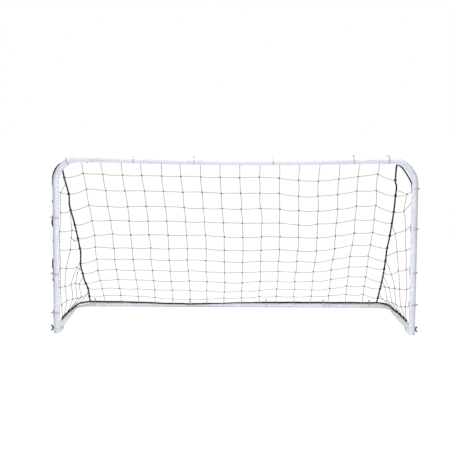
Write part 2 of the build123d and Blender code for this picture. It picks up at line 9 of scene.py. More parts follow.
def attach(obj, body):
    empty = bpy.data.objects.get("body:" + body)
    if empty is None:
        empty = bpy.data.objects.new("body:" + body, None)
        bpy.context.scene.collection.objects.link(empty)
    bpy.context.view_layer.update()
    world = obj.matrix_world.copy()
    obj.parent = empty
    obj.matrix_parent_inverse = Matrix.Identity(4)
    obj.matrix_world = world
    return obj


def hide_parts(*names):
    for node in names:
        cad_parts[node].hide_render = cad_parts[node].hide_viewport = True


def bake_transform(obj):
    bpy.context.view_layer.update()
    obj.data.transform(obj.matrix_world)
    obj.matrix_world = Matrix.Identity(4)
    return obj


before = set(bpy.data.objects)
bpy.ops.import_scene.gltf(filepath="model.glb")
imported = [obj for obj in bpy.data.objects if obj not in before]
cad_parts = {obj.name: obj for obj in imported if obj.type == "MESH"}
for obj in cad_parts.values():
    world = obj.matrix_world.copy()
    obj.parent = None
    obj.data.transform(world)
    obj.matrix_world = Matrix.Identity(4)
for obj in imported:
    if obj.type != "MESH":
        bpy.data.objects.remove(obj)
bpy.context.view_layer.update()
rng = random.Random(20)
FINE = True

# ---------------------------------------------------------------------------
# Sizes, in metres
# ---------------------------------------------------------------------------
# Tube centre lines
POST_X = 0.899
CROSSBAR_Z = 0.8815
BASE_Z = 0.016
DEPTH = 0.622
HOOP_Y = -DEPTH / 2
HOOP_BEND = 0.118           # bend radius between post and crossbar
BASE_BEND = 0.078           # bend radius at the rear corners

# Crossbar sag: full near the middle, none beyond SAG_TO
SAG, SAG_FROM, SAG_TO = 0.010, 0.080, 0.690

# Hinge line between hoop and base frame
PIVOT_Y, PIVOT_Z = -0.267, BASE_Z

# Braided border rope
ROPE_RADIUS = 0.0038
REACH = 0.0227              # from a tube's centre line to its rope's
BRAID_PITCH = 0.0055
BRAID_STRANDS = 3
ROPE_STEP = 0.0015 if FINE else 0.006
ROPE_SIDES = 24 if FINE else 10
BAR_ROPE_ANGLE = math.radians(20)           # below level, behind the crossbar
BAR_ROPE_DROP = REACH * math.sin(BAR_ROPE_ANGLE)
BAR_ROPE_BACK = REACH * math.cos(BAR_ROPE_ANGLE)

# Twisted net cord
CORD_RADIUS = 0.00142
CORD_PLIES = 3
CORD_TWIST = 2 * math.pi / 0.016            # radians per metre
CORD_STEP = 0.0019 if FINE else 0.012
CORD_SIDES = 6
HITCH_STEPS = 14 if FINE else 7             # points per turn

# Knots
KNOT_SAMPLES, KNOT_SIDES = (24, 6) if FINE else (12, 4)
KNOT_SIZES = (0.88, 1.15)                   # smallest and largest, as scales


# ---------------------------------------------------------------------------
# Points and curves
# ---------------------------------------------------------------------------
def from_hoop(points):
    """Points in mm, with y measured back from the hoop, as metres in the frame."""
    moved = np.asarray(points, float) / 1000
    moved[:, 1] += HOOP_Y
    return moved


def unit(vector):
    vector = np.asarray(vector, float)
    return vector / np.linalg.norm(vector)


def smoothstep(u):
    return u * u * (3 - 2 * u)


def arc_lengths(points):
    return np.r_[0, np.cumsum(np.linalg.norm(np.diff(points, axis=0), axis=1))]


def resample(points, step):
    """The polyline evenly sampled, with repeated points dropped."""
    points = np.asarray(points, float)
    gaps = np.linalg.norm(np.diff(points, axis=0), axis=1)
    points = points[np.r_[True, gaps > 1e-9]]
    lengths = arc_lengths(points)
    count = max(2, int(round(lengths[-1] / step)) + 1)
    at = np.linspace(0, lengths[-1], count)
    return np.stack([np.interp(at, lengths, points[:, axis]) for axis in range(3)], 1)


def curve(points, step, per_span=24):
    """A Catmull-Rom curve through the points, evenly sampled."""
    points = np.asarray(points, float)
    padded = np.vstack([2 * points[0] - points[1], points, 2 * points[-1] - points[-2]])
    t = np.linspace(0, 1, per_span, endpoint=False)[:, None]
    spans = []
    for i in range(len(points) - 1):
        before, start, end, after = padded[i:i + 4]
        spans.append(
            0.5
            * (
                2 * start
                + (end - before) * t
                + (2 * before - 5 * start + 4 * end - after) * t**2
                + (3 * start - before - 3 * end + after) * t**3
            )
        )
    spans.append(points[-1:])
    return resample(np.vstack(spans), step)


def nearest(path, point):
    """The path's point nearest to the given one, and its direction there."""
    i = int(np.argmin(np.linalg.norm(path - np.asarray(point), axis=1)))
    before, after = max(0, i - 3), min(len(path) - 1, i + 3)
    return path[i], unit(path[after] - path[before])


# ---------------------------------------------------------------------------
# Mesh building
# ---------------------------------------------------------------------------
def face_uvs(u, u_next, v, v_next):
    """UVs at the four corners of each face in a grid."""
    u, u_next, v, v_next = np.broadcast_arrays(u, u_next, v, v_next)
    corners = [(u, v), (u_next, v), (u_next, v_next), (u, v_next)]
    return np.stack([np.stack(corner, -1) for corner in corners], 2).reshape(-1, 2)


class Strands:
    """Tubes gathered into one mesh, with UVs: u once round, v in metres along."""

    def __init__(self):
        self.vertices, self.faces, self.uvs, self.count = [], [], [], 0

    def gather(self, rings, quads, uvs):
        self.vertices.append(rings.reshape(-1, 3))
        self.faces.extend((quads + self.count).reshape(-1, 4).tolist())
        self.uvs.append(uvs)
        self.count += rings.shape[0] * rings.shape[1]

    def sweep(self, path, reference, sides, radius, twist=0.0, phase=0.0):
        """A capped tube along the path; its first side faces the reference direction."""
        path = np.asarray(path, float)
        tangent = np.gradient(path, axis=0)
        tangent /= np.linalg.norm(tangent, axis=1)[:, None]
        reference = np.broadcast_to(np.asarray(reference, float), path.shape)
        normal = reference - (reference * tangent).sum(1)[:, None] * tangent
        normal /= np.linalg.norm(normal, axis=1)[:, None]
        binormal = np.cross(tangent, normal)
        along = arc_lengths(path)
        theta = np.arange(sides) * 2 * math.pi / sides
        radii = radius(along[:, None], theta[None, :]) * np.ones((len(path), sides))
        radii[[0, -1]] *= 0.72              # the ends draw in
        angle = theta[None, :] + twist * along[:, None] + phase
        rings = (
            path[:, None, :]
            + (radii * np.cos(angle))[..., None] * normal[:, None, :]
            + (radii * np.sin(angle))[..., None] * binormal[:, None, :]
        )
        base = self.count
        i = np.arange(len(path) - 1)[:, None] * sides
        j = np.arange(sides)[None, :]
        k = (j + 1) % sides
        quads = np.stack([i + j, i + k, i + sides + k, i + sides + j], -1)
        uvs = face_uvs(j / sides, (j + 1) / sides, along[:-1, None], along[1:, None])
        self.gather(rings, quads, uvs)
        first = list(range(base + sides - 1, base - 1, -1))
        last = list(range(self.count - sides, self.count))
        for cap, v in ((first, 0.0), (last, float(along[-1]))):
            self.faces.append(cap)
            self.uvs.append(np.array([[side / sides, v] for side in range(sides)]))

    def rope(self, path, reference, swell=1.0):
        self.sweep(path, reference, ROPE_SIDES, lambda along, theta: swell * braided(along, theta))

    def cord(self, path, reference, phase=0.0):
        self.sweep(path, reference, CORD_SIDES, twisted, CORD_TWIST, phase)

    def hitch(self, centre, along, turns, start=0.0, gap=0.0030, spread=0.0011):
        """Cord wound round a rope: gap is the pitch, spread the height over the rope."""
        along = np.asarray(along, float)
        side = unit(np.cross(along, (0.3, 0.5, 0.81)))
        up = np.cross(along, side)
        t = np.linspace(0, 1, int(HITCH_STEPS * turns) + 1)
        angle = start + t * turns * 2 * math.pi
        radius = ROPE_RADIUS + spread
        path = (
            centre
            + np.outer((t - 0.5) * turns * gap, along)
            + radius * np.outer(np.cos(angle), side)
            + radius * np.outer(np.sin(angle), up)
        )
        self.cord(path, along)

    def mesh(self, name, material):
        mesh = bpy.data.meshes.new(name)
        mesh.from_pydata(np.vstack(self.vertices).tolist(), [], self.faces)
        layer = mesh.uv_layers.new(name="UVMap")
        layer.data.foreach_set("uv", np.vstack(self.uvs).astype(np.float32).ravel())
        mesh.polygons.foreach_set("use_smooth", [True] * len(mesh.polygons))
        mesh.validate()
        mesh.update()
        ob = bpy.data.objects.new(name, mesh)
        bpy.context.scene.collection.objects.link(ob)
        mesh.materials.append(material)
        return ob


def braided(along, theta):
    """Rope radius: crossing helices under a slow swelling and thinning."""
    one = np.abs(np.sin(BRAID_STRANDS * theta + math.pi * along / BRAID_PITCH))
    two = np.abs(np.sin(BRAID_STRANDS * theta - math.pi * along / BRAID_PITCH))
    swell = 1 + 0.03 * np.sin(along * 61.0) + 0.02 * np.sin(along * 23.0 + 1.3)
    return ROPE_RADIUS * swell * (0.90 + 0.14 * one * two)


def twisted(along, theta):
    """Cord radius: one lobe per ply."""
    lobe = np.cos(CORD_PLIES * theta)
    return CORD_RADIUS * (1.0 + 0.17 * lobe) * (1 + 0.05 * np.sin(along * 83.0))


def knot_rings(size):
    """A closed trefoil tube, as rings of points about the origin."""
    loop, lift, cord = 0.00118 * size, 0.00135 * size, 0.00145 * size
    t = np.linspace(0, 2 * math.pi, KNOT_SAMPLES, endpoint=False)
    path = np.stack(
        [
            loop * (np.sin(t) + 2 * np.sin(2 * t)),
            loop * (np.cos(t) - 2 * np.cos(2 * t)),
            -lift * np.sin(3 * t),
        ],
        1,
    )
    tangent = np.roll(path, -1, 0) - np.roll(path, 1, 0)
    tangent /= np.linalg.norm(tangent, axis=1)[:, None]
    normal = np.zeros_like(path)
    normal[0] = unit(np.cross(tangent[0], (0.2, 0.1, 1.0)))
    for i in range(1, KNOT_SAMPLES):
        normal[i] = unit(normal[i - 1] - (normal[i - 1] @ tangent[i]) * tangent[i])
    binormal = np.cross(tangent, normal)
    theta = np.arange(KNOT_SIDES) * 2 * math.pi / KNOT_SIDES
    return path[:, None, :] + cord * (
        np.cos(theta)[None, :, None] * normal[:, None, :]
        + np.sin(theta)[None, :, None] * binormal[:, None, :]
    )


class Knots(Strands):
    def tie(self, at, flat_x, flat_y):
        """A knot of random size, lying in the plane of flat_x and flat_y at a random turn."""
        rings = knot_rings(rng.uniform(*KNOT_SIZES))
        turn = rng.uniform(0, 2 * math.pi)
        axis_x = math.cos(turn) * flat_x + math.sin(turn) * flat_y
        axis_y = -math.sin(turn) * flat_x + math.cos(turn) * flat_y
        axes = np.stack([axis_x, axis_y, np.cross(axis_x, axis_y)])
        samples, sides = KNOT_SAMPLES, KNOT_SIDES
        i = np.arange(samples)[:, None]
        j = np.arange(sides)[None, :]
        i2, j2 = (i + 1) % samples, (j + 1) % sides
        # where the tube closes on itself, match the turn it picked up on the way
        first, last = rings[0], rings[-1]
        misfits = [np.linalg.norm(np.roll(first, -k, 0) - last) for k in range(sides)]
        wrap = np.where(i == samples - 1, int(np.argmin(misfits)), 0)
        quads = np.stack(
            [
                i * sides + j,
                i * sides + j2,
                i2 * sides + (j2 + wrap) % sides,
                i2 * sides + (j + wrap) % sides,
            ],
            -1,
        )
        v_step = 0.0016
        uvs = face_uvs(j / sides, j / sides + 1 / sides, i * v_step, i * v_step + v_step)
        self.gather(at + rings @ axes, quads, uvs)


# ---------------------------------------------------------------------------
# Shader nodes
# ---------------------------------------------------------------------------
class Nodes:
    """The node tree of a material or world."""

    def __init__(self, owner):
        owner.use_nodes = True
        self.tree = owner.node_tree

    def feed(self, socket, value):
        """Give a socket a number, a colour or a link."""
        if isinstance(value, (int, float)):
            socket.default_value = value
        elif isinstance(value, tuple):
            socket.default_value = (*value, 1)
        else:
            self.tree.links.new(value, socket)

    def add(self, kind, **inputs):
        """A new node; underscores in input names stand for spaces."""
        node = self.tree.nodes.new(kind)
        for key, value in inputs.items():
            self.feed(node.inputs[key.replace("_", " ")], value)
        return node

    def coords(self, kind="Object", scale=(1, 1, 1)):
        source = self.add("ShaderNodeTexCoord")
        mapping = self.add("ShaderNodeMapping", Vector=source.outputs[kind])
        mapping.inputs["Scale"].default_value = scale
        return mapping.outputs["Vector"]

    def uv_split(self):
        """The UV coordinates apart: round the strand and along it."""
        source = self.add("ShaderNodeTexCoord")
        split = self.add("ShaderNodeSeparateXYZ", Vector=source.outputs["UV"])
        return split.outputs[0], split.outputs[1]

    def noise(self, vector, scale, detail, roughness=0.5):
        node = self.add(
            "ShaderNodeTexNoise", Scale=scale, Detail=detail, Roughness=roughness, Vector=vector
        )
        return node.outputs["Fac"]

    def ramp(self, value, colours, at=(0.3, 0.7)):
        node = self.add("ShaderNodeValToRGB", Fac=value)
        for element, colour, position in zip(node.color_ramp.elements, colours, at):
            element.position = position
            element.color = (*colour, 1)
        return node.outputs["Color"]

    def spread(self, value, within=(0.3, 0.7), to=(0, 1)):
        """Map the range within onto the range to."""
        node = self.add(
            "ShaderNodeMapRange",
            From_Min=within[0],
            From_Max=within[1],
            To_Min=to[0],
            To_Max=to[1],
            Value=value,
        )
        return node.outputs["Result"]

    def math(self, operation, *values):
        node = self.add("ShaderNodeMath")
        node.operation = operation
        for socket, value in zip(node.inputs, values):
            self.feed(socket, value)
        return node.outputs[0]

    def ridges(self, angle):
        """The size of the angle's sine."""
        return self.math("ABSOLUTE", self.math("SINE", angle))

    def blend(self, a, b, b_share):
        """Two values added in shares that make one."""
        a_part = self.math("MULTIPLY", a, round(1 - b_share, 5))
        return self.math("ADD", a_part, self.math("MULTIPLY", b, b_share))

    def mix(self, share, a, b):
        node = self.add("ShaderNodeMix")
        node.data_type = "RGBA"
        for socket, value in ((0, share), (6, a), (7, b)):
            self.feed(node.inputs[socket], value)
        return node.outputs[2]

    def mix_shaders(self, share, a, b):
        node = self.add("ShaderNodeMixShader")
        for socket, value in zip(node.inputs, (share, a, b)):
            self.feed(socket, value)
        return node.outputs[0]

    def bump(self, height, strength, distance, **normal):
        node = self.add(
            "ShaderNodeBump", Strength=strength, Distance=distance, Height=height, **normal
        )
        return node.outputs["Normal"]


class Material(Nodes):
    def __init__(self, name):
        self.material = bpy.data.materials.new(name)
        super().__init__(self.material)
        self.principled = next(n for n in self.tree.nodes if n.type == "BSDF_PRINCIPLED")

    def set(self, **values):
        """Set the principled shader's inputs and return the material."""
        for key, value in values.items():
            self.feed(self.principled.inputs[key.replace("_", " ")], value)
        return self.material


# ---------------------------------------------------------------------------
# Materials
# ---------------------------------------------------------------------------
def paint(name, light, shade, shade_tint=None, shade_tint_share=0.0):
    """White powder coat: orange peel, faint cloudiness, scuffs along x, and, if asked for, a painted
    shade tint.
    """
    n = Material(name)
    place = n.coords()
    cloud = n.noise(place, scale=5.0, detail=4, roughness=0.6)
    colour = n.ramp(cloud, (shade, light), at=(0.32, 0.68))
    # rubbed, greyish patches
    rub = n.spread(n.noise(place, scale=21.0, detail=6, roughness=0.7), within=(0.62, 0.76))
    colour = n.mix(n.math("MULTIPLY", rub, 0.22), colour, tuple(0.9 * c for c in shade))
    # hairline scuffs
    stretched = n.coords(scale=(5.0, 60.0, 60.0))
    hair = n.spread(n.noise(stretched, scale=14.0, detail=2), within=(0.70, 0.735))
    colour = n.mix(n.math("MULTIPLY", hair, 0.08), colour, (0.55, 0.56, 0.58))
    # painted shade: a warm beige-grey tint in a speckled pattern, standing in for the warm shade the
    # side bars sit in
    if shade_tint:
        tint_speckle = n.noise(place, scale=60.0, detail=5, roughness=0.65)
        soft = n.noise(place, scale=7.0, detail=3)
        both = n.math("MULTIPLY", n.spread(tint_speckle, to=(0.55, 1)), n.spread(soft, to=(0.6, 1.0)))
        colour = n.mix(n.math("MULTIPLY", both, shade_tint_share), colour, shade_tint)
    peel = n.noise(place, scale=420.0, detail=2)
    grain = n.noise(place, scale=1500.0, detail=1)
    normal = n.bump(peel, strength=0.035, distance=0.0004)
    normal = n.bump(grain, strength=0.02, distance=0.0001, Normal=normal)
    rough = n.spread(n.noise(place, scale=34.0, detail=4, roughness=0.6), to=(0.40, 0.52))
    rough = n.math("ADD", rough, n.math("MULTIPLY", rub, 0.12))
    return n.set(
        Base_Color=colour,
        Roughness=rough,
        Normal=normal,
        Coat_Weight=0.12,
        Coat_Roughness=0.25,
        Specular_IOR_Level=0.45,
    )


def plastic(name, light, shade, rough=(0.35, 0.5)):
    """Moulded plastic with flow marks and a fine grain."""
    n = Material(name)
    place = n.coords()
    colour = n.ramp(n.noise(place, scale=30.0, detail=4, roughness=0.6), (shade, light))
    flow = n.noise(n.coords(scale=(1.0, 1.0, 5.0)), scale=130.0, detail=3, roughness=0.6)
    normal = n.bump(flow, strength=0.22, distance=0.0004)
    grain = n.noise(place, scale=1800.0, detail=1)
    normal = n.bump(grain, strength=0.12, distance=0.0002, Normal=normal)
    n.principled.inputs["Subsurface Radius"].default_value = (0.004, 0.004, 0.004)
    return n.set(
        Subsurface_Weight=0.04,
        Base_Color=colour,
        Roughness=n.spread(n.noise(place, scale=90.0, detail=3, roughness=0.6), to=rough),
        Normal=normal,
    )


def metal(name, light, shade, rough, stretch=(1, 1, 1), rust=0.0):
    """Bare metal with a fine brushed grain and, if asked for, rust spots."""
    n = Material(name)
    place = n.coords()
    colour = n.ramp(n.noise(place, scale=160.0, detail=5, roughness=0.65), (shade, light))
    if rust:
        spot = n.spread(n.noise(place, scale=240.0, detail=4, roughness=0.7), within=(0.60, 0.72))
        colour = n.mix(n.math("MULTIPLY", spot, rust), colour, (0.16, 0.09, 0.05))
    brushed = n.noise(n.coords(scale=stretch), scale=700.0, detail=2)
    return n.set(
        Base_Color=colour,
        Metallic=1.0,
        Roughness=n.spread(brushed, to=rough),
        Normal=n.bump(brushed, strength=0.25, distance=0.0002),
    )


def braid(name, dark, light):
    """Braided rope: painted highlight on the crowns of the plait and painted shade in its grooves,
    over fine fibres.
    """
    n = Material(name)
    round_, along = n.uv_split()
    angle = n.math("MULTIPLY", round_, 2 * BRAID_STRANDS * math.pi)
    lay = n.math("MULTIPLY", along, math.pi / BRAID_PITCH)
    one = n.ridges(n.math("ADD", angle, lay))
    two = n.ridges(n.math("SUBTRACT", angle, lay))
    crown = n.math("MULTIPLY", one, two)
    place = n.coords()
    fibre = n.noise(n.coords("UV", (60.0, 900.0, 1.0)), scale=3.0, detail=3, roughness=0.6)
    # painted highlight and shade: the crowns lighter, the grooves between strands darker
    colour = n.ramp(n.blend(crown, fibre, b_share=0.3), (dark, light), at=(0.15, 0.85))
    faded = n.noise(place, scale=16.0, detail=4, roughness=0.6)
    fade = n.spread(faded, within=(0.5, 0.75), to=(0, 0.35))
    colour = n.mix(fade, colour, tuple(1.7 * c for c in light))
    normal = n.bump(crown, strength=0.5, distance=0.0006)
    normal = n.bump(fibre, strength=0.4, distance=0.0003, Normal=normal)
    return n.set(
        Base_Color=colour,
        Roughness=n.spread(fibre, to=(0.6, 0.85)),
        Normal=normal,
        Sheen_Weight=0.01,
        Sheen_Roughness=0.5,
        Specular_IOR_Level=0.06,
    )


def twine(name, light, dark, grime):
    """Twisted cord: painted shade in the lines between the plies, grime in patches."""
    n = Material(name)
    ply = n.ridges(n.math("MULTIPLY", n.uv_split()[0], CORD_PLIES * math.pi))
    place = n.coords()
    fibre = n.noise(n.coords("UV", (40.0, 1400.0, 1.0)), scale=2.0, detail=3, roughness=0.6)
    # painted shade: the grooves between the plies darker
    colour = n.ramp(n.blend(ply, fibre, b_share=0.3), (dark, light), at=(0.1, 0.75))
    dirt = n.noise(place, scale=24.0, detail=4, roughness=0.65)
    patch = n.spread(dirt, within=(0.5, 0.75), to=(0, 0.45))
    colour = n.mix(patch, colour, grime)
    normal = n.bump(ply, strength=0.6, distance=0.0004)
    normal = n.bump(fibre, strength=0.4, distance=0.0002, Normal=normal)
    return n.set(
        Base_Color=colour,
        Roughness=n.spread(fibre, to=(0.6, 0.85)),
        Normal=normal,
        Sheen_Weight=0.1,
        Specular_IOR_Level=0.25,
    )


WHITE = paint("white_powder_coat", light=(0.80, 0.83, 0.90), shade=(0.70, 0.73, 0.80))
# a shaded copy of the white paint for the side bars and brackets: warmer, greyer tones and a
# beige-grey tint, all painted shade
WHITE_SHADE_TINTED = paint(
    "white_powder_coat_shade_tinted",
    light=(0.83, 0.85, 0.88),
    shade=(0.77, 0.78, 0.79),
    shade_tint=(0.70, 0.69, 0.61),
    shade_tint_share=0.5,
)
# painted shade: the white clips are coloured a warm mid grey, as their thin tabs sit in shadow
CLIP_SHADED = plastic("clip_white_shaded", light=(0.62, 0.61, 0.57), shade=(0.48, 0.47, 0.42))
CAP = plastic(
    "cap_grey_white", light=(0.74, 0.75, 0.79), shade=(0.62, 0.63, 0.68), rough=(0.45, 0.6)
)
DARK = metal(
    "black_zinc", light=(0.13, 0.125, 0.12), shade=(0.05, 0.05, 0.05), rough=(0.28, 0.5), rust=0.35
)
ZINC = metal(
    "bright_zinc",
    light=(0.62, 0.63, 0.66),
    shade=(0.42, 0.43, 0.46),
    rough=(0.22, 0.42),
    stretch=(1, 1, 8),
)
SPRING = metal(
    "spring_strip",
    light=(0.60, 0.60, 0.62),
    shade=(0.44, 0.44, 0.46),
    rough=(0.15, 0.3),
    stretch=(1, 9, 1),
)
ROPE = braid("black_braid", dark=(0.0015, 0.0015, 0.0015), light=(0.012, 0.012, 0.013))
CORD = twine(
    "net_twine", light=(0.36, 0.35, 0.305), dark=(0.18, 0.175, 0.145), grime=(0.30, 0.285, 0.225)
)
# painted shade: the same twine at about half the brightness, for the shade inside the knots' bunched
# cord
KNOT_SHADED = twine(
    "net_twine_knot_shaded", light=(0.17, 0.165, 0.15), dark=(0.06, 0.058, 0.05), grime=(0.08, 0.075, 0.065)
)

# CAD pieces by words in their names; the first match wins
PIECE_MATERIALS = (
    (("side_bar", "bracket"), WHITE_SHADE_TINTED),
    (("upright",), WHITE),
    (("foot_cap",), CAP),
    (("clips",), CLIP_SHADED),
    (("wing_nut",), DARK),
    (("washers", "sleeve", "bolt"), ZINC),
    (("leaf", "snap"), SPRING),
)
BAR_NAMES = ("crossbar_left", "crossbar_right", "rear_bar_left", "rear_bar_right")


def piece_material(name):
    for words, material in PIECE_MATERIALS:
        if any(word in name for word in words):
            return material
        if material is WHITE and name.startswith(BAR_NAMES):
            return WHITE
    return CORD


for name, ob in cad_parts.items():
    ob.data.materials.clear()
    ob.data.materials.append(piece_material(name))

# ---------------------------------------------------------------------------
# Mouth rope: up the left post, along the crossbar and down the right post
# ---------------------------------------------------------------------------
# Height in m, mm the rope lies outside the left post's centre line
LEFT_POST_ROPE = np.array([
    (0.060, 16.0), (0.104, 17.4), (0.135, 15.0), (0.200, 14.0), (0.255, 14.5),
    (0.266, 19.6), (0.276, 19.2), (0.283, 15.5), (0.292, 17.6), (0.303, 17.4),
    (0.312, 18.0), (0.319, 16.0), (0.330, 20.0), (0.370, 20.2), (0.384, 14.5),
    (0.455, 14.5), (0.466, 19.2), (0.478, 14.5), (0.538, 15.0), (0.552, 21.2),
    (0.572, 20.8), (0.582, 17.6), (0.596, 17.4), (0.606, 14.5), (0.655, 14.5),
    (0.668, 19.6), (0.680, 14.5), (0.735, 15.0), (0.755, 18.6), (0.790, 18.0),
])
# Degrees round the left bend from the post, mm outside the tube's centre line
LEFT_BEND_ROPE = np.array([
    (0, 17.5), (8, 18.6), (18, 20.4), (30, 20.6), (42, 17.6),
    (50, 12.0), (57, 3.0), (64, -6.0), (68, -7.8), (90, -7.8),
])
# The rope round the right bend: x, back from the hoop and height, in mm
RIGHT_BEND_ROPE = from_hoop([
    (797, 21.5, 873.5), (813, 21.5, 862.5), (838, 21.2, 844.0), (864, 20.7, 808.0),
    (884.5, 20.0, 769.0), (888.2, 19.7, 740.0), (893.0, 21.7, 700.0),
])
BAR_ROPE_END = 0.775                        # x where the rope leaves the crossbar
RIGHT_BULGES = (0.538, 0.317, 0.152)        # heights where the right rope shifts inwards


def sag(x):
    u = np.clip((np.abs(x) - SAG_FROM) / (SAG_TO - SAG_FROM), 0, 1)
    return SAG * (1 - u * u) ** 1.2


def smoothed(table, at, width):
    """The table's second column at the places given, averaged over the width either side."""
    places = at[:, None] + np.linspace(-width, width, 5)[None, :]
    return np.interp(places, table[:, 0], table[:, 1]).mean(1)


def behind_tube(aside):
    """How far behind the tube's centre line the rope lies when it is this far aside."""
    return np.sqrt(REACH**2 - aside**2)


def left_post_run():
    z = np.arange(0.060, CROSSBAR_Z - HOOP_BEND, 0.003)
    outside = smoothed(LEFT_POST_ROPE, z, width=0.005) / 1000
    return np.stack([-POST_X - outside, HOOP_Y + behind_tube(outside), z], 1)


def left_bend_run():
    degrees = np.linspace(0, 90, 46)[1:]
    outside = smoothed(LEFT_BEND_ROPE, degrees, width=3.0) / 1000
    radius = HOOP_BEND + outside
    x = -POST_X + HOOP_BEND - radius * np.cos(np.radians(degrees))
    y = HOOP_Y + np.maximum(0.0125, behind_tube(outside))
    z = CROSSBAR_Z - HOOP_BEND + radius * np.sin(np.radians(degrees))
    return np.stack([x, y, z], 1)


def crossbar_run():
    x = np.arange(-BAR_ROPE_END, 0.781, 0.01)
    y = np.full_like(x, HOOP_Y + BAR_ROPE_BACK)
    return np.stack([x, y, CROSSBAR_Z - sag(x) - BAR_ROPE_DROP], 1)


def right_bend_run():
    start = (BAR_ROPE_END, HOOP_Y + BAR_ROPE_BACK, CROSSBAR_Z - BAR_ROPE_DROP)
    return curve(np.vstack([start, RIGHT_BEND_ROPE]), 0.004)


def right_post_run():
    z = np.arange(0.695, 0.059, -0.005)
    inside = 0.0055 + 0.0008 * np.sin(z * 37.0)
    for height in RIGHT_BULGES:
        inside = inside + (0.0113 - inside) * np.exp(-(((z - height) / 0.016) ** 4))
    return np.stack([POST_X - inside, HOOP_Y + behind_tube(inside), z], 1)


mouth_path = resample(
    np.vstack([
        left_post_run(),
        left_bend_run(),
        crossbar_run()[1:-1],
        right_bend_run()[:-1],
        right_post_run(),
    ]),
    ROPE_STEP,
)
strands = Strands()
strands.rope(mouth_path, (0, 1, 0))
mouth_rope = strands.mesh("mouth_rope_braid", ROPE)

# ---------------------------------------------------------------------------
# Ground rope: inside the base frame, from the left post round to the right
# ---------------------------------------------------------------------------
GROUND_SIDE = DEPTH - BASE_BEND                 # straight part of a side bar
GROUND_BEND = BASE_BEND * math.pi / 2           # length round a rear corner
REAR_END_X = POST_X - BASE_BEND                 # where the rear bar starts to bend
GROUND_LENGTH = 2 * GROUND_SIDE + 2 * GROUND_BEND + 2 * REAR_END_X


def side_tilt(back):
    """Degrees the rope lies above level: on top of the side bar, then lower to the back."""
    u = min(1, max(0, (back - 0.200) / (GROUND_SIDE - 0.200)))
    return 90 - 42 * smoothstep(u)


def rear_tilt(x):
    return 45 - 30 * math.exp(-(((x + 0.260) / 0.300) ** 2))


def ground_point(along):
    """The rope's centre at a length along the base frame's centre line."""
    half = min(along, GROUND_LENGTH - along)
    mirror = 1 if along <= GROUND_LENGTH / 2 else -1        # -1 on the right half
    bend_end = GROUND_SIDE + GROUND_BEND
    # tube centre and inward direction on the left half, and the share of the corner turned
    if half < GROUND_SIDE:
        x, y = -POST_X, half
        inward_x, inward_y = 1, 0
        share = 0
    elif half < bend_end:
        angle = (half - GROUND_SIDE) / BASE_BEND
        inward_x, inward_y = math.cos(angle), -math.sin(angle)
        x = -REAR_END_X - BASE_BEND * inward_x
        y = GROUND_SIDE - BASE_BEND * inward_y
        share = angle / (math.pi / 2)
    else:
        x, y = -REAR_END_X + half - bend_end, DEPTH
        inward_x, inward_y = 0, -1
        share = 1
    if share == 1:
        tilt = rear_tilt(mirror * x)
    else:
        tilt = side_tilt(half)
        tilt += (rear_tilt(-mirror * REAR_END_X) - tilt) * share
    # the rope cuts the corner a little, more so on the left
    cut = 0.004 * math.sin(math.pi * share)
    left_cut_end = bend_end + 0.020
    if mirror == 1 and half < left_cut_end:
        from_peak = half - GROUND_SIDE - 0.4 * GROUND_BEND
        fade = min(1.0, (left_cut_end - half) / 0.050)
        cut += 0.0125 * math.exp(-((from_peak / 0.085) ** 2)) * fade
    inward = REACH * math.cos(math.radians(tilt)) + cut
    above = REACH * math.sin(math.radians(tilt))
    return (mirror * (x + inward * inward_x), HOOP_Y + y + inward * inward_y, BASE_Z + above)


ground_path = np.array([ground_point(a) for a in np.arange(0.148, GROUND_LENGTH - 0.128, 0.006)])
ground_path[:, 2] += 0.0005 * np.sin(np.arange(len(ground_path)) * 0.23)
ground_path = resample(ground_path, ROPE_STEP)
# pulled thin in the middle of the rear bar, full at its sides
slim = np.exp(-(((ground_path[:, 0] - 0.010) / 0.150) ** 4)) * (ground_path[:, 1] > 0.2)
strands = Strands()
strands.rope(ground_path, (0, 0, 1), swell=(1.14 - 0.26 * slim)[:, None])
ground_rope = strands.mesh("ground_rope_braid", ROPE)

# ---------------------------------------------------------------------------
# Seam ropes, between the back and side panels of the net
# ---------------------------------------------------------------------------
# Centre lines, top to foot: x, back from the hoop and height, in mm
SEAM_POINTS = {
    "left": from_hoop([
        (-861, 22, 847), (-871, 38, 828), (-866, 64, 778), (-856, 82, 728), (-849, 95, 686),
        (-850, 113, 635), (-836, 151, 555), (-826, 192, 478), (-820, 228, 412), (-818, 259, 366),
        (-828, 318, 291), (-824, 362, 238), (-821, 406, 191), (-812, 462, 138), (-812, 497, 104),
        (-816, 560, 52), (-815, 602, 35),
    ]),
    "right": from_hoop([
        (811, 21, 864), (810, 36, 836), (813, 66, 774), (821, 75, 746), (820, 96, 683),
        (819, 125, 607), (814, 199, 464), (810, 240, 400), (812, 281, 338), (815, 346, 257),
        (816, 415, 180), (817, 478, 122), (821, 560, 56), (823, 602, 35),
    ]),
}
# Where the net's rows meet the seams, top to foot, in the same columns
ROW_ENDS = {
    "left": from_hoop([
        (-857, 63, 783), (-845, 92, 695), (-846, 125, 608), (-830, 165, 527), (-814, 207, 450),
        (-812, 240, 392), (-811, 311, 299), (-811, 364, 237), (-809, 426, 169), (-808, 462, 134),
        (-813, 529, 78),
    ]),
    "right": from_hoop([
        (808, 63, 776), (814, 92, 694), (815, 125, 609), (805, 156, 546), (807, 193, 475),
        (807, 234, 401), (810, 292, 323), (809, 332, 274), (814, 408, 188), (812, 455, 141),
        (818, 539, 70),
    ]),
}
